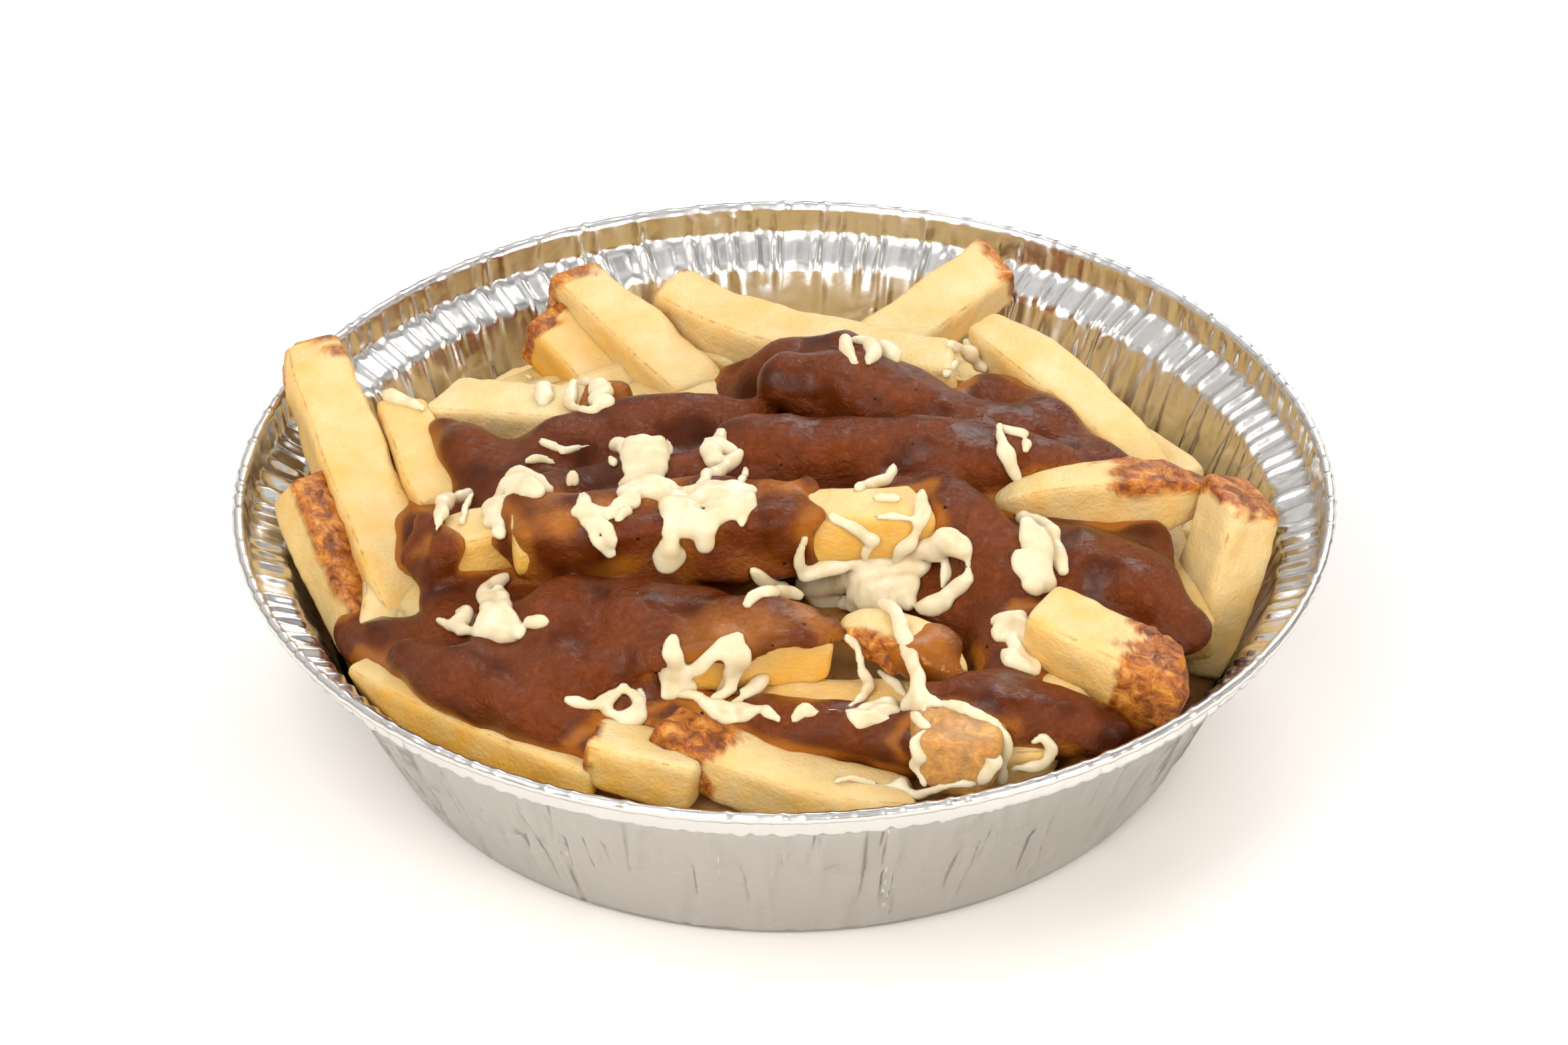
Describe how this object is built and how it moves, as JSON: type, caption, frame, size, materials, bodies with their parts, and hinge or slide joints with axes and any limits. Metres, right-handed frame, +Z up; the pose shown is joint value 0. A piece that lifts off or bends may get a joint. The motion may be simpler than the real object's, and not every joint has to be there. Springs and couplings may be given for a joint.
{
  "type": "poutine in a foil take-out pan",
  "caption": "Round crimped aluminium foil take-out pan heaped with fries, glossy brown gravy and melted cheese shreds",
  "frame": {"origin": "centre of the pan's flat base, on the surface it stands on", "axes": "+Z up; -Y towards the viewer of the picture; +X to that viewer's right"},
  "size_m": [0.185, 0.1842, 0.0577],
  "materials": {
    "foil": "bright rolled foil",
    "potato": "fried potato",
    "gravy": "wet gravy",
    "cheese": "melted cheese"
  },
  "bodies": {
    "root": {"foil_pan": "foil", "fries_heap": "potato", "gravy": "gravy", "cheese_back_blobs": "cheese", "cheese_back_loop": "cheese", "cheese_centre_ribs": "cheese", "cheese_centre_right": "cheese", "cheese_chunk_shred": "cheese", "cheese_draped_net": "cheese", "cheese_edge_strand": "cheese", "cheese_end_strand_low": "cheese", "cheese_end_strand_tall": "cheese", "cheese_end_strand_top": "cheese", "cheese_front_ridge": "cheese", "cheese_front_web": "cheese", "cheese_grain_lower": "cheese", "cheese_grain_upper": "cheese", "cheese_hanging_strand": "cheese", "cheese_left_grain": "cheese", "cheese_left_web": "cheese", "cheese_long_shred": "cheese", "cheese_low_web": "cheese", "cheese_lower_left_web": "cheese", "cheese_middle_sheet": "cheese", "cheese_right_back": "cheese", "cheese_right_curl": "cheese", "cheese_right_stack": "cheese", "cheese_right_strips": "cheese"}
  },
  "joints": []
}
